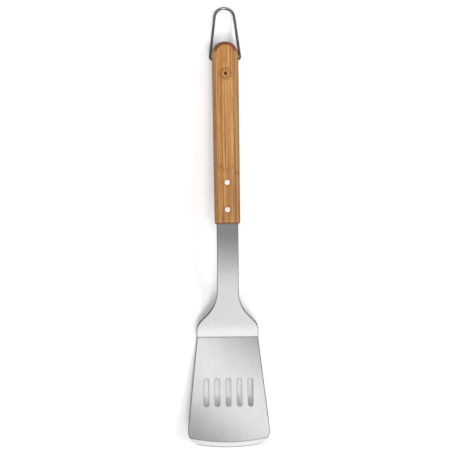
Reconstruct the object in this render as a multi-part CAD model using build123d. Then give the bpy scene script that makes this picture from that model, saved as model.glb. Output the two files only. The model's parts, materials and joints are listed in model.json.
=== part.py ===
from build123d import *
import os
from math import acos, asin, atan2, cos, degrees, hypot, radians, sin, tan

# Grill spatula, lying face up on a table: a bent sheet-steel blade with its neck and tang in one
# piece, a handle glued up from five bamboo strips, two two-piece rivets through handle and tang,
# and a wire hanging loop that swings in a cross hole near the butt of the handle.
# It rests on the heel of the blade and on the butt of the handle.
# Millimetres and degrees. +X is across the tool, +Y runs from the blade to the butt, +Z is up.
# The parts are made with the heel line at Y = 0 and the table at Z = 0, and are then moved along Y
# so that the origin is under the middle of the whole tool.

# Sheet-steel blade, neck and tang.
SHEET = 2.0  # thickness of the sheet
EDGE_ROUND = 0.9  # rounding of the sheet's long edges
BLADE_TILT = 8.0  # the blade climbs this much from its heel to its tip
BLADE_LENGTH = 114.4  # heel line to the middle of the front edge, along the blade
HEEL_HALF_WIDTH = 32.2
HEEL_STRAIGHT = 2.5  # parallel sides below the heel line, before the blade widens
HEEL_SIDE_RADIUS = 12.0  # where the parallel sides turn into the widening ones
SIDE_END_HALF_WIDTH = 45.2  # the straight side, carried on past the front edge
SIDE_END_AT = 120.0  # how far that is from the heel line
CORNER_RADIUS = 15.0
FRONT_RADIUS = 190.0  # the curve of the front edge
BEVEL_WIDTH = 5.6  # ground bevel along the front edge, on the upper face
BEVEL_DEPTH = 1.5
HEEL_INNER_RADIUS = 1.6  # inside radius of the bend at the heel

# Drain slots through the blade.
SLOT_COUNT = 5
SLOT_PITCH = 11.5
SLOT_WIDTH = 5.2
SLOT_LENGTH = 29.5
SLOT_CENTRE = 57.6  # from the heel line, along the blade
SLOT_ROUND = 0.35  # rounding of the slots' upper rims

# Shoulder, which climbs from the heel to the neck, and the neck's bend.
SHOULDER_TILT = 22.0
SHOULDER_CORNER_AT = 14.5  # from the heel line to where the side turns in, before rounding
SHOULDER_CORNER_RADIUS = 16.0
FLARE_RUN = 23.0  # from there to the neck, along the shoulder
FLARE_RADIUS = 40.0
NECK_HALF_WIDTH = 11.1
NECK_CORNER_AT = 84.9  # heel line to where the shoulder's line meets the handle's axis
NECK_RADIUS = 110.0  # middle of the sheet

# Tang, inside the handle.
TANG_LENGTH = 64.0
TANG_END_RADIUS = 6.0

# Bamboo handle.
HANDLE_AT = 40.3  # from the neck's corner to the handle's blade end, along the handle's axis
HANDLE_LENGTH = 189.3
HANDLE_HALF_WIDTH = 13.65  # at the round butt, the widest place
HANDLE_FRONT_HALF_WIDTH = 13.1  # at the blade end
HANDLE_THICKNESS = 18.5
HANDLE_ROUND = 5.0  # rounding of the long edges and of the butt
HANDLE_END_ROUND = 1.8  # rounding of the end the blade goes into
STRIP_PITCH = 6.0
FIRST_GLUE_LINE = -10.4  # X of the first glue line
STRIP_COUNT = 5
KERF_GAP = 0.05  # glue gap on each side of the tang
KERF_LENGTH = 66.0

# Sunburst burned into the handle's upper face.
MARK_FROM_BUTT = 34.2
MARK_DEPTH = 0.3
MARK_RAYS = 12
MARK_RAY_LENGTH = 3.6
MARK_RAY_WIDTH = 0.9
MARK_RAY_RADIUS = 5.2  # centre of the mark to the middle of a ray
MARK_DOT_RADIUS = 1.9

# Rivets: a tubular half from below and a solid half from above, pressed together.
RIVETS_AT = (13.7, 41.8)  # from the handle's blade end
RIVET_HEAD_RADIUS = 2.8
RIVET_HEAD_HEIGHT = 1.3
RIVET_DOME = 0.3  # the crown stands this far out of the handle
RIVET_RIM_DROP = 0.15  # the rim of the dome is this far below the handle's face
RIVET_TUBE_RADIUS = 2.0
RIVET_PIN_RADIUS = 1.4
RIVET_GAP = 0.02  # pin in tube, and head in its counterbore
RIVET_HOLE_GAP = 0.05  # tube in handle and tang
RIVET_TUBE_SHORT = 0.8  # the tube stops this far under the upper head
RIVET_PIN_LENGTH = 11.0
RIVET_PIN_CHAMFER = 0.3
RIVET_DIMPLE_RADIUS = 0.55
RIVET_DIMPLE_DEPTH = 0.35

# Wire hanging loop.
WIRE_RADIUS = 1.3
LOOP_LENGTH = 55.7  # pivot to the outside of the loop's far end
LOOP_RADIUS = 10.3  # of the round end, to the middle of the wire
LEG_HALF_SPACING = 15.8  # where the legs meet the pivot's axis, before the bends
LEG_BEND_RADIUS = 2.4
WIRE_END_HALF_SPACING = 5.2  # the two ends stop this far each side of the middle
WIRE_END_CHAMFER = 0.3
PIVOT_FROM_BUTT = 17.9
PIVOT_CLEARANCE = 0.08
PIVOT_HOLE_SPARE = 0.5  # the blind holes run on this far past the wire's ends
PIVOT_SINK_RADIUS = 2.3
PIVOT_SINK_DEPTH = 1.2

PAST = 5.0  # how far cutting tools run past what they cut
WIDE = 60.0  # more than half the blade's width
DEEP = 15.0  # more than any sheet's offset from its own middle plane
TOLERANCE = 0.01  # lengths and places closer than this count as the same
MARGIN = 1.0  # the rims of the slots are looked for this far outside them

# The heel rests on the table on its outer bend.
heel_radius = HEEL_INNER_RADIUS + SHEET / 2
heel_turn = radians(SHOULDER_TILT + BLADE_TILT)
heel_lean = radians(SHOULDER_TILT - BLADE_TILT) / 2
heel_z = SHEET / 2 + heel_radius * (1 - cos(heel_lean) / cos(heel_turn / 2))

# Where the shoulder's line meets the handle's axis.
neck_y = NECK_CORNER_AT * cos(radians(SHOULDER_TILT))
neck_z = heel_z + NECK_CORNER_AT * sin(radians(SHOULDER_TILT))

# The handle falls towards its butt by the angle that lets the butt's rounded lower edge touch the table.
butt_at = HANDLE_AT + HANDLE_LENGTH
round_along = butt_at - HANDLE_ROUND
round_below = HANDLE_THICKNESS / 2 - HANDLE_ROUND
handle_tilt = degrees(
    asin((neck_z - HANDLE_ROUND) / hypot(round_along, round_below)) - atan2(round_below, round_along)
)

# One plane for each straight stretch of sheet. Each lies in the middle of the sheet, its local Y
# runs towards the butt and its local Z is the upper face's normal.
blade_plane = Plane(
    origin=(0, 0, heel_z), x_dir=(1, 0, 0), z_dir=(0, sin(radians(BLADE_TILT)), cos(radians(BLADE_TILT)))
)
shoulder_plane = Plane(
    origin=(0, 0, heel_z),
    x_dir=(1, 0, 0),
    z_dir=(0, -sin(radians(SHOULDER_TILT)), cos(radians(SHOULDER_TILT))),
)
handle_plane = Plane(
    origin=(0, neck_y, neck_z),
    x_dir=(1, 0, 0),
    z_dir=(0, sin(radians(handle_tilt)), cos(radians(handle_tilt))),
)


def side_profile():
    """The bent sheet seen from the side, in the YZ plane."""
    tip = BLADE_LENGTH + 2 * PAST
    tang_end = HANDLE_AT + TANG_LENGTH
    neck_turn = radians(SHOULDER_TILT + handle_tilt)
    neck_lean = radians(SHOULDER_TILT - handle_tilt) / 2
    points = []
    for side in (1, -1):
        off = side * SHEET / 2
        tip_point = blade_plane.from_local_coords(Vector(0, -tip, off))
        heel_off = off / cos(heel_turn / 2)
        heel_point = Vector(0, -heel_off * sin(heel_lean), heel_z + heel_off * cos(heel_lean))
        neck_off = off / cos(neck_turn / 2)
        neck_point = Vector(0, neck_y - neck_off * sin(neck_lean), neck_z + neck_off * cos(neck_lean))
        end_point = handle_plane.from_local_coords(Vector(0, tang_end, off))
        row = [tip_point, heel_point, neck_point, end_point]
        points += row if side > 0 else row[::-1]
    face = make_face(Plane.YZ * Polyline(*[(p.Y, p.Z) for p in points], close=True))
    heel_top, neck_top = points[1], points[2]
    neck_low, heel_low = points[5], points[6]
    rounds = (
        (heel_top, HEEL_INNER_RADIUS),
        (heel_low, HEEL_INNER_RADIUS + SHEET),
        (neck_top, NECK_RADIUS + SHEET / 2),
        (neck_low, NECK_RADIUS - SHEET / 2),
    )
    for point, radius in rounds:
        corner = face.vertices().sort_by_distance(point)[0]
        face = fillet(corner, radius)
    return face


def mirrored(points):
    """A closed outline from its right-hand half."""
    return points + [(-x, y) for x, y in reversed(points)]


def rounded(sketch, corners):
    """The sketch with both corners at (x, y) and (-x, y) rounded, for each (x, y, radius)."""
    for x, y, radius in corners:
        for side in (1, -1):
            corner = sketch.vertices().sort_by_distance(Vector(side * x, y, 0))[0]
            sketch = fillet(corner, radius)
    return sketch


def blade_outline():
    """The blade's flat outline, with its heel line at y = 0 and its front edge at negative y."""
    right = [
        (HEEL_HALF_WIDTH, HEEL_STRAIGHT),
        (HEEL_HALF_WIDTH, -HEEL_STRAIGHT),
        (SIDE_END_HALF_WIDTH, -SIDE_END_AT),
    ]
    sides = make_face(Polyline(*mirrored(right), close=True))
    sides = rounded(sides, [(HEEL_HALF_WIDTH, -HEEL_STRAIGHT, HEEL_SIDE_RADIUS)])
    front = Pos(0, FRONT_RADIUS - BLADE_LENGTH) * Circle(FRONT_RADIUS)
    return rounded(sides & front, [(SIDE_END_HALF_WIDTH, -BLADE_LENGTH, CORNER_RADIUS)])


def shoulder_outline():
    """The shoulder's flat outline, from just below the heel line up to the neck."""
    flare_top = SHOULDER_CORNER_AT + FLARE_RUN
    right = [
        (HEEL_HALF_WIDTH, -HEEL_STRAIGHT),
        (HEEL_HALF_WIDTH, SHOULDER_CORNER_AT),
        (NECK_HALF_WIDTH, flare_top),
        (NECK_HALF_WIDTH, flare_top + FLARE_RADIUS),
    ]
    corners = [
        (HEEL_HALF_WIDTH, SHOULDER_CORNER_AT, SHOULDER_CORNER_RADIUS),
        (NECK_HALF_WIDTH, flare_top, FLARE_RADIUS),
    ]
    return rounded(make_face(Polyline(*mirrored(right), close=True)), corners)


def tang_outline():
    """The neck and tang seen along the handle plane's normal."""
    # The strip runs on over the neck's bend, so that it meets the shoulder's outline.
    length = HANDLE_AT + TANG_LENGTH + NECK_RADIUS / 4
    strip = Pos(0, HANDLE_AT + TANG_LENGTH - length / 2) * Rectangle(2 * NECK_HALF_WIDTH, length)
    return rounded(strip, [(NECK_HALF_WIDTH, HANDLE_AT + TANG_LENGTH, TANG_END_RADIUS)])


def bevel_cutter():
    """A ring with a sloping lower face, turned about the centre of the front edge's curve."""
    slope = BEVEL_DEPTH / BEVEL_WIDTH
    top = SHEET / 2
    profile = make_face(
        Plane.XZ
        * Polyline(
            (FRONT_RADIUS - BEVEL_WIDTH, top),
            (FRONT_RADIUS + PAST, top - slope * (BEVEL_WIDTH + PAST)),
            (FRONT_RADIUS + PAST, top + PAST),
            (FRONT_RADIUS - BEVEL_WIDTH, top + PAST),
            close=True,
        )
    )
    ring = revolve(profile, Axis.Z)
    return blade_plane * Pos(0, FRONT_RADIUS - BLADE_LENGTH) * ring


def drain_slots():
    """The tool that cuts the five slots."""
    slots = Sketch()
    for i in range(SLOT_COUNT):
        x = (i - (SLOT_COUNT - 1) / 2) * SLOT_PITCH
        slots += Pos(x, -SLOT_CENTRE) * Rot(0, 0, 90) * SlotOverall(SLOT_LENGTH, SLOT_WIDTH)
    return blade_plane * extrude(slots, DEEP, both=True)


def rivet_holes(radius):
    """Round tools on both rivets' axes, in the handle's own frame."""
    return [Pos(0, HANDLE_AT + at, 0) * Cylinder(radius, 4 * DEEP) for at in RIVETS_AT]


def blade():
    """Blade, shoulder, neck and tang: one sheet, bent at the heel and along the neck."""
    ribbon = extrude(side_profile(), WIDE, both=True)
    outline = blade_plane * extrude(blade_outline(), DEEP, both=True)
    outline += shoulder_plane * extrude(shoulder_outline(), DEEP, both=True)
    outline += handle_plane * extrude(tang_outline(), 2 * DEEP, both=True)
    sheet = (ribbon & outline).solids()[0]
    sheet = fillet(long_rims(sheet), EDGE_ROUND)
    sheet -= bevel_cutter()
    sheet -= drain_slots()
    sheet = fillet(slot_rims(sheet), SLOT_ROUND)
    for hole in rivet_holes(RIVET_TUBE_RADIUS + RIVET_HOLE_GAP):
        sheet -= handle_plane * hole
    return sheet.solids()[0]


def long_rims(sheet):
    """The edges that run round the sheet's outline, without the bend lines and the short corner lines."""
    rims = []
    for edge in sheet.edges():
        middle = edge.position_at(0.5)
        is_corner_line = abs(edge.length - SHEET) < TOLERANCE
        runs_across = abs(middle.X) < TOLERANCE and abs(edge.tangent_at(0.5).X) > 1 - TOLERANCE
        is_front = middle.Y < -BLADE_LENGTH / 2
        is_tang_end = middle.Y > HANDLE_AT + TANG_LENGTH
        is_bend_line = runs_across and not is_front and not is_tang_end
        if not is_corner_line and not is_bend_line:
            rims.append(edge)
    return rims


def slot_rims(sheet):
    """The rims of the drain slots, on both faces of the blade."""
    half_length = SLOT_LENGTH / 2 + MARGIN
    half_width = (SLOT_COUNT - 1) / 2 * SLOT_PITCH + SLOT_WIDTH / 2 + MARGIN
    rims = []
    for edge in sheet.edges():
        middle = blade_plane.to_local_coords(edge.position_at(0.5))
        in_zone = abs(middle.Y + SLOT_CENTRE) < half_length and abs(middle.X) < half_width
        on_face = abs(abs(middle.Z) - SHEET / 2) < TOLERANCE
        if in_zone and on_face:
            rims.append(edge)
    return rims


def handle_outline():
    """The handle seen from above: straight sides that spread a little towards the round butt."""
    round_centre = butt_at - HANDLE_HALF_WIDTH
    reach = round_centre - HANDLE_AT
    # The sides leave the round end where they are tangent to it.
    turn = acos(HANDLE_HALF_WIDTH / hypot(HANDLE_FRONT_HALF_WIDTH, reach))
    turn -= atan2(reach, HANDLE_FRONT_HALF_WIDTH)
    side_end = (HANDLE_HALF_WIDTH * cos(turn), round_centre + HANDLE_HALF_WIDTH * sin(turn))
    right = Line((HANDLE_FRONT_HALF_WIDTH, HANDLE_AT), side_end)
    left = mirror(right, about=Plane.YZ)
    front = Line((-HANDLE_FRONT_HALF_WIDTH, HANDLE_AT), (HANDLE_FRONT_HALF_WIDTH, HANDLE_AT))
    butt = ThreePointArc(side_end, (0, butt_at), (-side_end[0], side_end[1]))
    return make_face(front + right + butt + left)


def handle_block():
    """The whole handle as one plain block, in the handle plane's frame."""
    block = extrude(handle_outline(), HANDLE_THICKNESS / 2, both=True)
    front_face = block.faces().sort_by(Axis.Y)[0]
    flat_edges = block.faces().filter_by(Axis.Z).edges()
    block = fillet(flat_edges - front_face.edges(), HANDLE_ROUND)
    front_face = block.faces().sort_by(Axis.Y)[0]
    return fillet(front_face.edges(), HANDLE_END_ROUND)


def sunburst():
    """The shape burned into the handle, sunk from its upper face."""
    flat = Circle(MARK_DOT_RADIUS)
    ray = Pos(0, MARK_RAY_RADIUS) * Rot(0, 0, 90) * SlotOverall(MARK_RAY_LENGTH, MARK_RAY_WIDTH)
    for i in range(MARK_RAYS):
        flat += Rot(0, 0, i * 360 / MARK_RAYS) * ray
    floor_z = HANDLE_THICKNESS / 2 - MARK_DEPTH
    return Pos(0, butt_at - MARK_FROM_BUTT, floor_z) * extrude(flat, MARK_DEPTH + PAST)


def along_x(radius, x0, x1):
    """A round bar on the pivot's axis, from x0 to x1, in the handle plane's frame."""
    bar = Rot(0, 90, 0) * Cylinder(radius, abs(x1 - x0))
    return Pos((x0 + x1) / 2, butt_at - PIVOT_FROM_BUTT, 0) * bar


def handle_strips():
    """The five bamboo strips, with the slot for the tang and the holes for rivets and loop."""
    block = handle_block()
    kerf_thickness = SHEET + 2 * KERF_GAP
    kerf = Box(2 * (NECK_HALF_WIDTH + KERF_GAP), KERF_LENGTH + PAST, kerf_thickness)
    block -= Pos(0, HANDLE_AT + (KERF_LENGTH - PAST) / 2, 0) * kerf
    block -= sunburst()
    for hole in rivet_holes(RIVET_TUBE_RADIUS + RIVET_HOLE_GAP):
        block -= hole
    sink_floor = HANDLE_THICKNESS / 2 - RIVET_HEAD_HEIGHT
    for at in RIVETS_AT:
        for side in (1, -1):
            sink = Cylinder(RIVET_HEAD_RADIUS + RIVET_GAP, RIVET_HEAD_HEIGHT + PAST)
            block -= Pos(0, HANDLE_AT + at, side * (sink_floor + (RIVET_HEAD_HEIGHT + PAST) / 2)) * sink
    for side in (1, -1):
        outside = side * (HANDLE_HALF_WIDTH + PAST)
        hole_end = side * (WIRE_END_HALF_SPACING - PIVOT_HOLE_SPARE)
        block -= along_x(WIRE_RADIUS + PIVOT_CLEARANCE, hole_end, outside)
        block -= along_x(PIVOT_SINK_RADIUS, side * (HANDLE_HALF_WIDTH - PIVOT_SINK_DEPTH), outside)
    glue_lines = [FIRST_GLUE_LINE + i * STRIP_PITCH for i in range(STRIP_COUNT - 1)]
    bounds = [-WIDE] + glue_lines + [WIDE]
    strips = []
    for x0, x1 in zip(bounds, bounds[1:]):
        slab = Pos((x0 + x1) / 2, HANDLE_AT + HANDLE_LENGTH / 2, 0) * Box(x1 - x0, 2 * HANDLE_LENGTH, WIDE)
        strips.append((block & slab).solids()[0])
    return strips


def rivet_head_profile():
    """Half of a domed rivet head with a dimple in its crown and its underside on z = 0."""
    rim = RIVET_HEAD_HEIGHT - RIVET_RIM_DROP
    crown = RIVET_HEAD_HEIGHT + RIVET_DOME
    rise = crown - rim
    dome_radius = (RIVET_HEAD_RADIUS**2 + rise**2) / (2 * rise)
    half = RIVET_HEAD_RADIUS / 2
    half_way = (half, crown - dome_radius + (dome_radius**2 - half**2) ** 0.5)
    edge = Polyline((0, crown), (0, 0), (RIVET_HEAD_RADIUS, 0), (RIVET_HEAD_RADIUS, rim))
    edge += ThreePointArc((RIVET_HEAD_RADIUS, rim), half_way, (0, crown))
    head = make_face(Plane.XZ * edge)
    dimple = Pos(0, crown) * Rectangle(2 * RIVET_DIMPLE_RADIUS, 2 * RIVET_DIMPLE_DEPTH)
    return head - Plane.XZ * dimple


def rivet_pin():
    """The solid half: a domed head with a pin below it, head underside on z = 0."""
    head = revolve(rivet_head_profile(), Axis.Z)
    pin = Pos(0, 0, -RIVET_PIN_LENGTH / 2) * Cylinder(RIVET_PIN_RADIUS, RIVET_PIN_LENGTH)
    return head + chamfer(pin.edges().sort_by(Axis.Z)[0], RIVET_PIN_CHAMFER)


def rivet_tube():
    """The tubular half, made upside down: a domed head with a tube below it."""
    head = revolve(rivet_head_profile(), Axis.Z)
    length = HANDLE_THICKNESS - 2 * RIVET_HEAD_HEIGHT - RIVET_TUBE_SHORT
    head += Pos(0, 0, -length / 2) * Cylinder(RIVET_TUBE_RADIUS, length)
    return head - Pos(0, 0, -length / 2 - PAST / 2) * Cylinder(RIVET_PIN_RADIUS + RIVET_GAP, length + PAST)


def hanging_loop():
    """The bent wire, with its pivot on the X axis and its round end at +Y."""
    reach = LOOP_LENGTH - WIRE_RADIUS - LOOP_RADIUS
    lean = degrees(acos(LOOP_RADIUS / hypot(LEG_HALF_SPACING, reach)))
    lean -= degrees(atan2(reach, LEG_HALF_SPACING))
    bend_start = LEG_HALF_SPACING - LEG_BEND_RADIUS * tan(radians((90 + lean) / 2))
    end = (WIRE_END_HALF_SPACING, 0)
    path = Line(end, (bend_start, 0))
    path += JernArc(path @ 1, path % 1, LEG_BEND_RADIUS, 90 + lean)
    shoulder = (LOOP_RADIUS * cos(radians(lean)), reach + LOOP_RADIUS * sin(radians(lean)))
    path += Line(path @ 1, shoulder)
    path += JernArc(path @ 1, path % 1, LOOP_RADIUS, 90 - lean)
    start = Plane(origin=(*end, 0), z_dir=(1, 0, 0))
    half = sweep(start * Circle(WIRE_RADIUS), path=path)
    half = chamfer(half.faces().sort_by(lambda face: abs(face.center().Y))[0].edges(), WIRE_END_CHAMFER)
    return (half + mirror(half, about=Plane.YZ)).solids()[0]


def loop_in_place():
    """The loop in its cross hole, swung down until its round end lies on the table."""
    pivot = handle_plane.from_local_coords(Vector(0, butt_at - PIVOT_FROM_BUTT, 0))
    drop = degrees(asin((pivot.Z - WIRE_RADIUS) / (LOOP_LENGTH - WIRE_RADIUS)))
    return Pos(pivot) * Rot(-drop, 0, 0) * hanging_loop()


def rivets():
    """Both rivets, each half under its own name, in the handle plane's frame."""
    seat = HANDLE_THICKNESS / 2 - RIVET_HEAD_HEIGHT
    pieces = {}
    for name, at in zip(("front", "rear"), RIVETS_AT):
        place = Pos(0, HANDLE_AT + at, 0)
        pieces[f"rivet_pin_{name}"] = place * Pos(0, 0, seat) * rivet_pin()
        pieces[f"rivet_tube_{name}"] = place * Pos(0, 0, -seat) * Rot(180, 0, 0) * rivet_tube()
    return pieces


def all_pieces():
    """Every piece in place, with the heel line at Y = 0."""
    pieces = {"blade": blade(), "hanging_loop": loop_in_place()}
    for number, strip in enumerate(handle_strips(), start=1):
        pieces[f"handle_strip_{number}"] = handle_plane * strip
    for name, half_rivet in rivets().items():
        pieces[name] = handle_plane * half_rivet
    return pieces


def write_all():
    """Move the pieces so that the origin is under the middle of the tool, and write each one."""
    pieces = all_pieces()
    front_y = pieces["blade"].bounding_box().min.Y
    back_y = pieces["hanging_loop"].bounding_box().max.Y
    os.makedirs("parts", exist_ok=True)
    for name, shape in pieces.items():
        export_step(Pos(0, -(front_y + back_y) / 2, 0) * shape, f"parts/{name}.step")


write_all()
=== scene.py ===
import json
import math

import bpy
from mathutils import Matrix, Vector


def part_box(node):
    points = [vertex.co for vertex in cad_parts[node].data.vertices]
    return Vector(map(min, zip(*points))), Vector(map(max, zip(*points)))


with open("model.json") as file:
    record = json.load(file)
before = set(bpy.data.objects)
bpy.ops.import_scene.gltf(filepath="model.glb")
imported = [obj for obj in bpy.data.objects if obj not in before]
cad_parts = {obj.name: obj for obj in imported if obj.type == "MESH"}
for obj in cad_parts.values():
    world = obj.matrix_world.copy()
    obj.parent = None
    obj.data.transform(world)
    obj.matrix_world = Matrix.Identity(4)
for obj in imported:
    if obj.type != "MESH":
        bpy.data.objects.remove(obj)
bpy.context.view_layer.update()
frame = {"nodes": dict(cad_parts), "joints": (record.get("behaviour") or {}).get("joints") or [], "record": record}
nodes = frame["nodes"]
scene = bpy.context.scene
scene.view_settings.view_transform = "Standard"

# Metres and degrees. +X is across the spatula, +Y runs from the blade to the butt, +Z is up.

# ---------------------------------------------------------------- camera
# Almost straight down, a little from the left, with the picture's top towards +Y.
CAMERA_AT = (-0.0693, 0.0228, 1.8)
CAMERA_TURN = (-0.68, -2.2, -0.625)  # about Y first, then X and then Z
LENS_MM = 137.302
SENSOR_MM = 36.0


def make_camera():
    data = bpy.data.cameras.new("camera")
    data.sensor_width = SENSOR_MM
    data.lens = LENS_MM
    data.clip_end = 20
    camera = bpy.data.objects.new("camera", data)
    scene.collection.objects.link(camera)
    x, y, z = (math.radians(a) for a in CAMERA_TURN)
    turn = Matrix.Rotation(z, 4, "Z") @ Matrix.Rotation(x, 4, "X") @ Matrix.Rotation(y, 4, "Y")
    camera.matrix_world = Matrix.Translation(CAMERA_AT) @ turn
    scene.camera = camera


# ---------------------------------------------------------------- sizes, and places from the frame
HANDLE_LENGTH = 0.1893
HANDLE_HALF_WIDTH = 0.01365  # at the round butt
HANDLE_TAPER = 0.00055  # how much nearer each side is to the middle at the blade end
HANDLE_HALF_THICKNESS = 0.00925
PIVOT_FROM_BUTT = 0.0179
MARK_FROM_BUTT = 0.0342
MARK_RADIUS = 0.0078
RIVETS_AT = (0.0137, 0.0418)  # distances from the handle's blade end

SHEET = 0.002
BLADE_LENGTH = 0.1144
FRONT_RADIUS = 0.190
BEVEL_WIDTH = 0.0056
FACE_FROM_HEEL = 0.025  # heel line to the mount on the blade's upper face


def middle(node_name):
    """The middle of a CAD node's box."""
    low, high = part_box(node_name)
    return (Vector(low) + Vector(high)) / 2


def mount(name):
    """The place and axis of one of the record's mounts."""
    found = next(entry for entry in frame["record"]["mounts"] if entry["name"] == name)
    return Vector(found["pos_m"]), Vector(found["axis"])


# The rivets stand in line on the handle, so they give its slope; the loop's pivot gives its place.
rivet_step = middle("rivet_pin_rear") - middle("rivet_pin_front")
handle_tilt = math.degrees(math.atan2(-rivet_step.z, rivet_step.y))
pivot_at = Vector(frame["joints"][0]["pos_m"])
handle_end = pivot_at - (HANDLE_LENGTH - PIVOT_FROM_BUTT) * rivet_step.normalized()

# The mount on the blade's upper face gives the blade's slope and the middle of its heel line.
face_at, face_axis = mount("blade_upper_face")
blade_tilt = math.degrees(math.atan2(face_axis.y, face_axis.z))
blade_way = Vector((0, face_axis.z, -face_axis.y))  # along the blade, from its tip to its heel
heel_at = face_at - face_axis * SHEET / 2 + blade_way * FACE_FROM_HEEL

# The hook that the tool hangs on pulls along the loop, which gives the normal of the loop's plane.
hook_axis = mount("hang_point")[1]
loop_normal = Vector((0, -hook_axis.z, hook_axis.y))


# ---------------------------------------------------------------- node helpers
class Graph:
    """A node tree, with short calls for the nodes used here."""

    def __init__(self, tree):
        self.tree = tree

    def add(self, kind, **settings):
        node = self.tree.nodes.new(kind)
        for key, value in settings.items():
            setattr(node, key, value)
        return node

    def put(self, socket, value):
        """Link value if it is an output, or set it."""
        if isinstance(value, bpy.types.NodeSocket):
            self.tree.links.new(value, socket)
        else:
            socket.default_value = value

    def math(self, operation, a, b=0.0):
        node = self.add("ShaderNodeMath", operation=operation)
        self.put(node.inputs[0], a)
        self.put(node.inputs[1], b)
        return node.outputs[0]

    def plus(self, a, b):
        return self.math("ADD", a, b)

    def minus(self, a, b):
        return self.math("SUBTRACT", a, b)

    def times(self, first, *others):
        for other in others:
            first = self.math("MULTIPLY", first, other)
        return first

    def absolute(self, value):
        return self.math("ABSOLUTE", value)

    def vector(self, operation, a, b=(0, 0, 0)):
        node = self.add("ShaderNodeVectorMath", operation=operation)
        self.put(node.inputs[0], a)
        self.put(node.inputs[1], b)
        return node.outputs["Value" if operation in ("LENGTH", "DOT_PRODUCT") else "Vector"]

    def split(self, vector):
        node = self.add("ShaderNodeSeparateXYZ")
        self.put(node.inputs[0], vector)
        return node.outputs

    def join(self, x, y, z):
        node = self.add("ShaderNodeCombineXYZ")
        for socket, value in zip(node.inputs, (x, y, z)):
            self.put(socket, value)
        return node.outputs[0]

    def place(self, vector, shift=(0, 0, 0), tilt=0.0, scale=(1, 1, 1)):
        """The vector scaled, then turned about X, then shifted."""
        node = self.add("ShaderNodeMapping")
        self.put(node.inputs["Vector"], vector)
        node.inputs["Location"].default_value = shift
        node.inputs["Rotation"].default_value = (math.radians(tilt), 0, 0)
        node.inputs["Scale"].default_value = scale
        return node.outputs[0]

    def noise(self, vector, scale, detail=2.0, roughness=0.5, shift=(0, 0, 0)):
        """Noise with its own number of grains per metre along each axis."""
        node = self.add("ShaderNodeTexNoise")
        self.put(node.inputs["Vector"], self.place(vector, shift, scale=scale))
        node.inputs["Scale"].default_value = 1.0
        node.inputs["Detail"].default_value = detail
        node.inputs["Roughness"].default_value = roughness
        return node.outputs[0]

    def cells(self, vector, scale, shift=(0, 0, 0)):
        """Distance from the nearest of many scattered points."""
        node = self.add("ShaderNodeTexVoronoi")
        self.put(node.inputs["Vector"], self.place(vector, shift, scale=scale))
        node.inputs["Scale"].default_value = 1.0
        return node.outputs["Distance"]

    def ramp(self, value, low, high, to_low=0.0, to_high=1.0, smooth=True):
        """to_low where value is low, running to to_high where it is high, and level beyond them."""
        node = self.add("ShaderNodeMapRange")
        node.interpolation_type = "SMOOTHSTEP" if smooth else "LINEAR"
        self.put(node.inputs["Value"], value)
        node.inputs["From Min"].default_value = low
        node.inputs["From Max"].default_value = high
        node.inputs["To Min"].default_value = to_low
        node.inputs["To Max"].default_value = to_high
        return node.outputs[0]

    def mix(self, factor, a, b, blend="MIX"):
        node = self.add("ShaderNodeMix", data_type="RGBA", blend_type=blend)
        self.put(node.inputs["Factor"], factor)
        self.put(node.inputs[6], a)
        self.put(node.inputs[7], b)
        return node.outputs[2]

    def dim(self, colour, factor):
        """The colour with each channel multiplied by factor."""
        return self.mix(1.0, colour, self.join(factor, factor, factor), "MULTIPLY")

    def bump(self, height, distance, strength):
        node = self.add("ShaderNodeBump")
        node.inputs["Strength"].default_value = strength
        node.inputs["Distance"].default_value = distance
        self.put(node.inputs["Height"], height)
        return node.outputs[0]

    def coordinates(self):
        """Coordinates fixed to the object, in metres, and its own surface normal."""
        node = self.add("ShaderNodeTexCoord")
        return node.outputs["Object"], node.outputs["Normal"]


class Material(Graph):
    """A new material with one principled shader."""

    def __init__(self, name):
        self.data = bpy.data.materials.new(name)
        self.data.use_nodes = True
        super().__init__(self.data.node_tree)
        self.tree.nodes.clear()
        self.shader = self.add("ShaderNodeBsdfPrincipled")
        output = self.add("ShaderNodeOutputMaterial")
        self.tree.links.new(self.shader.outputs[0], output.inputs["Surface"])

    def shade(self, settings):
        """Link or set the shader's sockets by name."""
        for name, value in settings.items():
            self.put(self.shader.inputs[name], value)


def rgb(red, green, blue):
    """A linear colour from its screen values, 0 to 255."""
    values = []
    for value in (red, green, blue):
        s = value / 255
        values.append(s / 12.92 if s <= 0.04045 else ((s + 0.055) / 1.055) ** 2.4)
    return (*values, 1.0)


def paint(node_name, material):
    """Give every material slot of a CAD node this material."""
    mesh = nodes[node_name].data
    if not mesh.materials:
        mesh.materials.append(material.data)
    for index in range(len(mesh.materials)):
        mesh.materials[index] = material.data


# ---------------------------------------------------------------- the handle's own coordinates
def handle_coordinates(g):
    """Place and normal along the handle: X across, Y from its blade end, Z up from its middle."""
    place, normal = g.coordinates()
    moved = g.vector("SUBTRACT", place, handle_end)
    return g.place(moved, tilt=handle_tilt), g.place(normal, tilt=handle_tilt)


def nearest_rivet(g, along):
    """Distance from the nearer rivet's axis."""
    distances = []
    for where in RIVETS_AT:
        offset = g.vector("SUBTRACT", along, (0, where, 0))
        offset = g.vector("MULTIPLY", offset, (1, 1, 0))
        distances.append(g.vector("LENGTH", offset))
    return g.math("MINIMUM", *distances)


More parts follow.
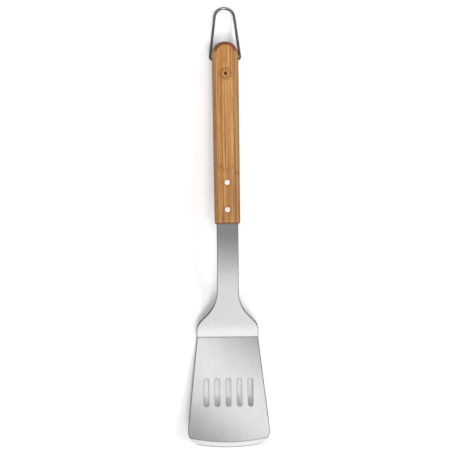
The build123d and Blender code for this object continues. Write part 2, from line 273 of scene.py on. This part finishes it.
# ---------------------------------------------------------------- bamboo
WOOD_LIGHTEST = rgb(224, 172, 120)
WOOD_PALE = rgb(214, 160, 105)
WOOD_MIDDLE = rgb(190, 134, 79)
WOOD_DARK = rgb(140, 86, 38)
FIBRE_LINE = rgb(128, 76, 34)
PORE = rgb(126, 74, 32)
KNUCKLE = rgb(122, 72, 32)
GLUE = rgb(118, 70, 32)
# Painted shade on the handle's upper long edges.
HANDLE_EDGE_SHADE = rgb(92, 64, 38)
NEAR_RIVET_DARK = rgb(104, 66, 36)
END_DARK = rgb(68, 36, 18)
END_RED = rgb(112, 62, 31)
CHAR_DARK = rgb(66, 31, 13)
CHAR_RED = rgb(90, 46, 19)

# Where each seam, darkening and painted shade starts to show, and where it is full.
SEAM = (0.00045, 0.0001)  # from a glue line
DARKER_FRONT = (0.11, 0.02)  # from the handle's blade end
EDGE_SHADE_SIDE = (0.0019, 0.0003)  # from the handle's side
EDGE_SHADE_HEIGHT = (0.0015, 0.0050)  # above the handle's middle
DARKER_NEAR_RIVET = (0.0039, 0.0029)  # from a rivet's axis
BUTT_RIM_SHADE = (-0.0045, -0.0037)  # from the edge of the round butt, inwards
BUTT_RIM_SHADE_SIDE = (0.0005, 0.0050)  # past the middle of the round butt
MARK_SUNK = (-0.00002, -0.00012)  # from the handle's upper face, downwards

# For each strip from -X to +X: the shift of its grain, its colour factor, and its knuckles, each
# with its distance from the blade end, half-width and depth of colour.
STRIPS = (
    (3.1, (0.70, 0.70, 0.59), [(0.061, 0.0020, 0.35)]),
    (7.7, (0.72, 0.71, 0.61), [(0.058, 0.0026, 0.45), (0.099, 0.0020, 0.2)]),
    (12.4, (0.74, 0.74, 0.65), [(0.054, 0.0030, 0.45), (0.170, 0.0034, 0.4)]),
    (19.8, (0.79, 0.82, 0.78), [(0.056, 0.0022, 0.35), (0.128, 0.0016, 0.3)]),
    (26.3, (0.60, 0.60, 0.53), [(0.052, 0.0024, 0.7)]),
)
OUT_OF_REACH = 1.0  # X of a glue line that an outer strip doesn't have


def knuckled(g, along, seed, knuckles):
    """The fibres' coordinates, bent at each knuckle, and the depth of the darker wavy bands there."""
    x, y, z = g.split(along)
    bend = 0.0
    band = 0.0
    for where, half_width, depth in knuckles:
        wobble = g.noise(along, (300, 45, 300), shift=(seed, where * 90, 0))
        wobble = g.minus(wobble, 0.5)
        offset = g.plus(g.minus(y, where), g.times(wobble, 0.009))
        near = g.math("DIVIDE", offset, half_width)
        near = g.math("DIVIDE", 1.0, g.plus(1.0, g.times(near, near)))
        near = g.times(near, near)
        band = g.plus(band, g.times(near, depth))
        bend = g.plus(bend, g.times(near, wobble))
    return g.join(g.plus(x, g.times(bend, 0.004)), y, z), band


def make_grain(g, fibre, seed):
    """The textures that make up the wood, from coarse to fine."""
    return {
        "broad": g.noise(fibre, (420, 7, 420), 2.0, 0.5, (seed, 0, 0)),
        "lines": g.noise(fibre, (620, 5, 620), 1.0, 0.5, (seed, seed, 0)),
        "streaks": g.noise(fibre, (1000, 16, 1000), 3.0, 0.62, (0, seed, 0)),
        "pores": g.cells(fibre, (1500, 60, 1500), (0, seed, 0)),
        "fine": g.noise(fibre, (3000, 70, 3000), 2.0, 0.6, (seed, 0, seed)),
    }


def wood_colour(g, grain, band):
    """Fibres, pores and knuckles, before the strip's own tone."""
    streaks = grain["streaks"]
    colour = g.mix(g.ramp(grain["broad"], 0.34, 0.66), WOOD_MIDDLE, WOOD_PALE)
    colour = g.mix(g.ramp(streaks, 0.5, 0.74, 0.0, 0.9), colour, WOOD_DARK)
    colour = g.mix(g.ramp(streaks, 0.42, 0.26, 0.0, 0.5), colour, WOOD_LIGHTEST)
    colour = g.mix(g.ramp(grain["lines"], 0.6, 0.7, 0.0, 0.6), colour, FIBRE_LINE)
    colour = g.mix(g.ramp(grain["fine"], 0.52, 0.8, 0.0, 0.5), colour, WOOD_DARK)
    colour = g.mix(g.ramp(grain["pores"], 0.3, 0.05, 0.0, 0.5), colour, PORE)
    patchy = g.times(band, g.ramp(streaks, 0.3, 0.7, 0.45, 1.0))
    return g.mix(g.math("MINIMUM", patchy, 1.0), colour, KNUCKLE)


def glue_seams(g, colour, grain, x, glue_lines):
    """Dark lines along the strip's glued sides, deeper in some places than in others."""
    left, right = glue_lines
    inside = g.math("MINIMUM", g.minus(x, left), g.minus(right, x))
    depth = g.ramp(grain["broad"], 0.3, 0.7, 0.55, 0.85)
    return g.mix(g.times(g.ramp(inside, *SEAM), depth), colour, GLUE)


def darkening_and_edge_shade(g, colour, along):
    """Wood that is darker near the blade and round the rivets, with painted shade on the upper long edges, deeper
    on the +X side.
    """
    x, y, z = g.split(along)
    colour = g.dim(colour, g.ramp(y, *DARKER_FRONT, 1.0, 0.86))
    front_half_width = HANDLE_HALF_WIDTH - HANDLE_TAPER
    half_width = g.ramp(y, 0.0, HANDLE_LENGTH, front_half_width, HANDLE_HALF_WIDTH, smooth=False)
    from_side = g.minus(half_width, g.absolute(x))
    # Painted shade on the upper long edges, deeper on the +X side.
    painted_light = g.times(
        g.ramp(from_side, *EDGE_SHADE_SIDE),
        g.ramp(z, *EDGE_SHADE_HEIGHT),
        g.ramp(x, -0.005, 0.005, 0.7, 0.95),
    )
    colour = g.mix(painted_light, colour, HANDLE_EDGE_SHADE)
    # Darker wood round each rivet.
    darker_near_rivet = g.ramp(nearest_rivet(g, along), *DARKER_NEAR_RIVET, 0.0, 0.7)
    darker_near_rivet = g.times(darker_near_rivet, g.math("GREATER_THAN", z, 0.0))
    return g.mix(darker_near_rivet, colour, NEAR_RIVET_DARK)


def ends_and_butt_rim_shade(g, colour, grain, along, normal):
    """The cut ends take the darker, redder colour of end grain, which partly stands for their shade, and a rim of
    it round the butt is painted shade on the butt's rounding.
    """
    x, y, _ = g.split(along)
    dots = g.cells(along, (1100, 500, 1100))
    end_colour = g.mix(g.ramp(dots, 0.1, 0.5), END_DARK, END_RED)
    past_centre = g.minus(y, HANDLE_LENGTH - HANDLE_HALF_WIDTH)
    reach = g.vector("LENGTH", g.join(x, g.math("MAXIMUM", past_centre, 0.0), 0.0))
    reach = g.plus(reach, g.times(g.minus(grain["fine"], 0.5), 0.0006))
    # Painted shade on the butt's rounding.
    shaded_rim = g.ramp(g.minus(reach, HANDLE_HALF_WIDTH), *BUTT_RIM_SHADE)
    shaded_rim = g.times(shaded_rim, g.ramp(past_centre, *BUTT_RIM_SHADE_SIDE))
    facing_along = g.absolute(g.split(normal)[1])
    end = g.math("MAXIMUM", shaded_rim, g.ramp(facing_along, 0.5, 0.8))
    return g.mix(g.times(end, 0.9), colour, end_colour)


def burned_mask(g, along):
    """1 where the mark is sunk below the handle's upper face, and 0 elsewhere."""
    z = g.split(along)[2]
    centre = (0, HANDLE_LENGTH - MARK_FROM_BUTT, HANDLE_HALF_THICKNESS)
    reach = g.vector("LENGTH", g.vector("SUBTRACT", along, centre))
    sunk = g.ramp(g.minus(z, HANDLE_HALF_THICKNESS), *MARK_SUNK)
    return g.times(sunk, g.math("LESS_THAN", reach, MARK_RADIUS))


def bamboo(name, seed, tone, knuckles, glue_lines):
    """One strip of the handle, between two glue lines."""
    g = Material(name)
    along, normal = handle_coordinates(g)
    fibre, band = knuckled(g, along, seed, knuckles)
    grain = make_grain(g, fibre, seed)
    streaks = grain["streaks"]

    colour = wood_colour(g, grain, band)
    colour = glue_seams(g, colour, grain, g.split(along)[0], glue_lines)
    colour = g.mix(1.0, colour, (*tone, 1.0), "MULTIPLY")
    colour = darkening_and_edge_shade(g, colour, along)
    colour = ends_and_butt_rim_shade(g, colour, grain, along, normal)
    burned = burned_mask(g, along)
    colour = g.mix(burned, colour, g.mix(g.ramp(streaks, 0.35, 0.65), CHAR_DARK, CHAR_RED))

    height = g.plus(g.times(streaks, -0.6), g.times(grain["pores"], 0.4))
    g.shade({
        "Base Color": colour,
        "Roughness": g.plus(g.ramp(streaks, 0.3, 0.8, 0.42, 0.56), g.times(burned, 0.25)),
        "Specular IOR Level": 0.3,
        "Coat Weight": 0.06,
        "Coat Roughness": 0.35,
        "Normal": g.bump(height, 0.00012, 0.5),
    })
    return g


def paint_handle():
    for index, (seed, tone, knuckles) in enumerate(STRIPS):
        node_name = f"handle_strip_{index + 1}"
        low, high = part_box(node_name)
        left = low[0] if index > 0 else -OUT_OF_REACH
        right = high[0] if index < len(STRIPS) - 1 else OUT_OF_REACH
        paint(node_name, bamboo(f"bamboo_{index + 1}", seed, tone, knuckles, (left, right)))


# ---------------------------------------------------------------- sheet steel
SHEET_COLOUR = (0.72, 0.715, 0.72, 1)
SHEET_ROUGHNESS = 0.34
BEVEL_START = FRONT_RADIUS - BEVEL_WIDTH  # from the centre of the front edge's curve
BEVEL_BLEND = 0.0002

# Where each painted highlight and painted shade starts to show, and where it is full.
HEEL_HIGHLIGHT = (0.017, 0.004)  # from the heel line, up the shoulder
HEEL_CREASE_SHADE = (0.0011, 0.0002)  # from the heel line, both ways
BEVEL_RIDGE_SHADE = (0.0007, 0.0002)  # from the start of the bevel, both ways
CUTTING_EDGE_SHADE = (-0.0014, -0.0006)  # from the front edge, inwards
FLARE_FOOT = (0.010, 0.015)  # from the heel line, where the shoulder starts to narrow
FLARE_TOP = (0.044, 0.026)  # from the heel line, where it has narrowed to the neck


def front_arc(g, flat):
    """Distance from the centre of the front edge's curve, in the blade's plane."""
    x, y, _ = g.split(flat)
    return g.vector("LENGTH", g.join(x, g.minus(y, FRONT_RADIUS - BLADE_LENGTH), 0.0))


def brush_marks(g, place, on_bevel):
    """Long marks along the tool, and shorter ones on the ground bevel."""
    fine = g.noise(place, (5200, 60, 5200), 3.0, 0.65)
    medium = g.noise(place, (1500, 14, 1500), 2.0, 0.5)
    ground = g.noise(place, (3800, 260, 260), 2.0, 0.6)
    long_marks = g.plus(g.times(fine, 0.55), g.times(medium, 0.45))
    return g.plus(g.times(long_marks, g.minus(1.0, on_bevel)), g.times(ground, on_bevel))


def heel_highlight_and_crease_shade(g, from_heel, flat_y):
    """A painted highlight on the lower shoulder, and painted shade in the crease below it."""
    painted_light = g.times(g.ramp(from_heel, *HEEL_HIGHLIGHT), g.math("GREATER_THAN", from_heel, 0.0))
    crease_shade = g.ramp(g.absolute(flat_y), *HEEL_CREASE_SHADE, 0.0, 0.5)
    return g.times(g.ramp(painted_light, 0.0, 1.0, 1.0, 1.24, smooth=False), g.minus(1.0, crease_shade))


def bevel_ridge_and_edge_shade(g, from_heel, arc, on_bevel):
    """Painted shade: a dark line where the bevel starts, and a greyer cutting edge."""
    ridge_shade = g.ramp(g.absolute(g.minus(arc, BEVEL_START)), *BEVEL_RIDGE_SHADE, 0.0, 0.5)
    ridge_shade = g.times(ridge_shade, g.math("LESS_THAN", from_heel, 0.0))
    cutting_edge_shade = g.ramp(g.minus(arc, FRONT_RADIUS), *CUTTING_EDGE_SHADE, 0.0, 0.55)
    cutting_edge_shade = g.times(cutting_edge_shade, on_bevel)
    return g.times(g.minus(1.0, ridge_shade), g.minus(1.0, cutting_edge_shade))


def edge_shade_mask(g, from_heel, normal, on_bevel):
    """1 on the sheet's sheared edges, where shade is painted, and 0 on its faces; the painted rim is wider on the
    shoulder's flare.
    """
    across, _, up = g.split(normal)
    edge = g.times(g.ramp(g.absolute(up), 0.93, 0.7), g.minus(1.0, on_bevel))
    flare = g.times(g.ramp(from_heel, *FLARE_FOOT), g.ramp(from_heel, *FLARE_TOP))
    return g.math("MAXIMUM", edge, g.times(flare, g.ramp(g.absolute(across), 0.02, 0.2)))


def sheet_steel(name):
    """Brushed stainless sheet, with a ground bevel, painted shade on its sheared edges, in the heel crease and
    along the bevel, and a painted highlight on the lower shoulder.
    """
    g = Material(name)
    place, normal = g.coordinates()
    from_heel = g.minus(g.split(place)[1], heel_at.y)
    flat = g.place(g.vector("SUBTRACT", place, heel_at), tilt=blade_tilt)
    arc = front_arc(g, flat)
    on_bevel = g.ramp(arc, BEVEL_START, BEVEL_START + BEVEL_BLEND)
    on_bevel = g.times(on_bevel, g.math("LESS_THAN", from_heel, -BLADE_LENGTH / 2))
    marks = brush_marks(g, place, on_bevel)
    edge = edge_shade_mask(g, from_heel, normal, on_bevel)

    broad = g.noise(place, (420, 9, 420), 2.0, 0.55)
    cloud = g.noise(place, (55, 34, 55), 3.0, 0.55)
    tint = g.times(
        g.ramp(marks, 0.3, 0.7, 0.88, 1.0),
        g.ramp(broad, 0.3, 0.7, 0.97, 1.0, smooth=False),
        g.ramp(cloud, 0.3, 0.7, 0.965, 1.0),
        # Painted highlight on the lower shoulder, and painted shade in the heel crease, along the bevel and on the
        # edges.
        heel_highlight_and_crease_shade(g, from_heel, g.split(flat)[1]),
        bevel_ridge_and_edge_shade(g, from_heel, arc, on_bevel),
        g.ramp(edge, 0.0, 1.0, 1.0, 0.1),
    )
    rough = g.ramp(marks, 0.25, 0.75, SHEET_ROUGHNESS - 0.05, SHEET_ROUGHNESS + 0.06)
    g.shade({
        "Base Color": g.dim(SHEET_COLOUR, tint),
        "Metallic": 1.0,
        "Roughness": g.plus(rough, g.times(edge, 0.2)),
        "Anisotropic": 0.35,
        "Normal": g.bump(marks, 0.00002, 0.35),
    })
    return g


# ---------------------------------------------------------------- wire and rivets
WIRE_SIDE_SHADE = (0.02, 0.02, 0.021, 1)  # painted shade on the wire's sides
# Painted highlight on the wire's faces.
WIRE_FACE_HIGHLIGHT = (0.95, 0.94, 0.93, 1)
RIVET_COLOUR = (1.0, 0.95, 0.89, 1)
RIVET_RINGS = 9000.0  # radians of turning rings per metre

# Where each painted highlight, painted shade and dark rim starts to show, and where it is full.
ROUND_END_HIGHLIGHT = (0.0207, 0.0057)  # from the far end of the loop
RIVET_DIMPLE_SHADE = (0.0009, 0.0005)  # from the rivet's axis
RIVET_RIM = (0.00235, 0.00275)  # from the rivet's axis


def wire_steel(name):
    """Drawn wire with a painted highlight on its faces, strongest at the round end, and painted shade on its
    sides.
    """
    g = Material(name)
    place, normal = g.coordinates()
    lines = g.noise(place, (1500, 120, 1500), 2.0, 0.6)
    blotch = g.noise(place, (240, 160, 240), 3.0, 0.6)
    facing = g.absolute(g.vector("DOT_PRODUCT", normal, loop_normal))
    facing = g.plus(facing, g.times(g.minus(blotch, 0.5), 0.2))
    # The highlight is painted strongest at the round end.
    far_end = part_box("hanging_loop")[1][1]
    from_end = g.minus(far_end, g.split(place)[1])
    wire_highlight = g.times(g.ramp(facing, 0.88, 0.985), g.ramp(from_end, *ROUND_END_HIGHLIGHT, 0.14, 1.0))
    colour = g.mix(wire_highlight, WIRE_SIDE_SHADE, WIRE_FACE_HIGHLIGHT)
    g.shade({
        "Base Color": g.dim(colour, g.ramp(lines, 0.3, 0.7, 0.85, 1.0)),
        "Metallic": g.ramp(wire_highlight, 0.0, 0.6, 0.0, 1.0),
        "Specular IOR Level": 0.04,
        "Roughness": g.plus(g.ramp(lines, 0.3, 0.7, 0.14, 0.22), g.ramp(wire_highlight, 0.0, 1.0, 0.2, 0.0)),
        "Normal": g.bump(lines, 0.00002, 0.3),
    })
    return g


def rivet_steel(name):
    """Tumbled matt rivet heads with faint turning rings, painted shade in the dimple and a dark rim."""
    g = Material(name)
    along, _ = handle_coordinates(g)
    reach = nearest_rivet(g, along)
    specks = g.noise(along, (900, 900, 900), 3.0, 0.6)
    rings = g.math("SINE", g.times(reach, RIVET_RINGS))
    tint = g.times(
        g.plus(g.ramp(specks, 0.3, 0.7, 0.9, 0.98), g.times(rings, 0.02)),
        # Painted shade in the dimple.
        g.ramp(reach, *RIVET_DIMPLE_SHADE, 1.0, 0.55),
        g.ramp(reach, *RIVET_RIM, 1.0, 0.4),
    )
    g.shade({
        "Base Color": g.dim(RIVET_COLOUR, tint),
        "Metallic": 0.35,
        "Roughness": g.ramp(specks, 0.3, 0.7, 0.34, 0.46),
        "Normal": g.bump(g.plus(specks, g.times(rings, 0.3)), 0.00003, 0.3),
    })
    return g


def paint_metal():
    paint("blade", sheet_steel("sheet_steel"))
    paint("hanging_loop", wire_steel("wire_steel"))
    rivets = rivet_steel("rivet_steel")
    for half in ("pin", "tube"):
        for where in ("front", "rear"):
            paint(f"rivet_{half}_{where}", rivets)


# ---------------------------------------------------------------- floor and light
FLOOR_HALF_SIZE = 6.0
FLOOR_DROP = 0.0001  # keeps the floor just clear of what rests on it
STUDIO_DISTANCE = 8.0


def make_floor():
    """A pale floor whose far part glows a little, so that it meets the pale horizon without a line."""
    mesh = bpy.data.meshes.new("floor")
    s = FLOOR_HALF_SIZE
    mesh.from_pydata([(-s, -s, 0), (s, -s, 0), (s, s, 0), (-s, s, 0)], [], [(0, 1, 2, 3)])
    floor = bpy.data.objects.new("floor", mesh)
    floor.location.z = -FLOOR_DROP
    scene.collection.objects.link(floor)
    g = Material("floor")
    away = g.vector("LENGTH", g.coordinates()[0])
    g.shade({
        "Base Color": (0.88, 0.88, 0.885, 1),
        "Roughness": 0.9,
        "Specular IOR Level": 0.1,
        "Emission Color": (1, 1, 1, 1),
        "Emission Strength": g.ramp(away, 1.0, 4.5, 0.0, 0.75),
    })
    mesh.materials.append(g.data)


def soft_box(name, at, aim, size, radiance, spread=180.0, shine=True, glow=True, turn=0.0):
    """A rectangular light at a place that faces another place.

    spread is the angle that its grid lets through. shine says whether it shows in reflections,
    and glow whether it lights matt surfaces. turn rolls it about the way it faces.
    """
    data = bpy.data.lights.new(name, "AREA")
    data.shape = "RECTANGLE"
    data.size, data.size_y = size
    data.spread = math.radians(spread)
    half = math.radians(spread) / 2
    # A narrow grid gathers a light's power, so divide by that gain.
    gain = 1.0 if spread == 180.0 else math.tan(half) / (math.tan(half) - half)
    data.energy = radiance * math.pi * size[0] * size[1] / gain
    light = bpy.data.objects.new(name, data)
    light.location = at
    light.rotation_euler = (Vector(at) - Vector(aim)).to_track_quat("Z", "Y").to_euler()
    light.rotation_euler.rotate_axis("Z", math.radians(turn))
    light.visible_camera = False
    light.visible_glossy = shine
    light.visible_diffuse = glow
    scene.collection.objects.link(light)


def studio_light(name, azimuth, elevation, size, floor_level):
    """A matt-only soft box that faces the object's middle.

    azimuth is measured from -Y towards +X. floor_level is the light it gives the floor,
    where 1 lights a white floor fully.
    """
    a, e = math.radians(azimuth), math.radians(elevation)
    direction = Vector((math.sin(a) * math.cos(e), -math.cos(a) * math.cos(e), math.sin(e)))
    radiance = floor_level * math.pi * STUDIO_DISTANCE**2 / (size[0] * size[1] * math.sin(e))
    soft_box(name, direction * STUDIO_DISTANCE, (0, 0, 0), size, radiance, shine=False)


def make_world():
    """A studio dome: bright towards -Y, grey overhead, dark flags high at the sides, pale low down."""
    world = bpy.data.worlds.new("studio")
    world.use_nodes = True
    scene.world = world
    g = Graph(world.node_tree)
    x, y, z = g.split(g.add("ShaderNodeTexCoord").outputs["Generated"])
    level = g.ramp(y, -0.78, 0.22, 1.22, 0.35, smooth=False)
    level = g.math("MAXIMUM", level, g.ramp(z, 0.5, 0.3, 0.0, 0.62))
    flags = g.math("MAXIMUM", g.ramp(g.absolute(x), 0.25, 0.6), g.ramp(y, 0.35, 0.75))
    flags = g.times(flags, g.ramp(z, 0.42, 0.6, 0.0, 0.92))
    level = g.times(level, g.minus(1.0, flags))
    colour = g.mix(g.ramp(z, 0.22, 0.08), g.join(level, level, level), (0.97, 0.97, 0.97, 1))
    g.put(world.node_tree.nodes["Background"].inputs["Color"], colour)


def make_light():
    make_world()
    studio_light("key", 6, 52, (3.2, 2.4), 0.37)
    studio_light("right", 90, 44, (4.4, 3.0), 0.40)
    studio_light("top", 0, 85, (8.0, 8.0), 0.20)
    # A matt-only fill beside the handle lightens the shadow to its left.
    soft_box("handle_fill", (-0.34, 0.15, 0.46), (-0.03, 0.13, 0), (0.3, 0.2), 5.0, 62, shine=False)
    # Boxes with grids near the blade and the loop that show only in their steel.
    soft_box(
        "blade_glow", (0.023, -0.124, 0.28), (0.009, -0.175, 0), (0.36, 0.088), 3.2, 32, glow=False, turn=-26
    )
    soft_box("loop_glow", (0.0, 0.17, 0.42), (0, 0.20, 0.005), (0.24, 0.16), 5.0, 40, glow=False)
    soft_box("tip_glow", (0.03, -0.42, 0.5), (0, -0.222, 0.014), (0.3, 0.16), 2.8, 26, glow=False)


make_camera()
paint_handle()
paint_metal()
make_floor()
make_light()
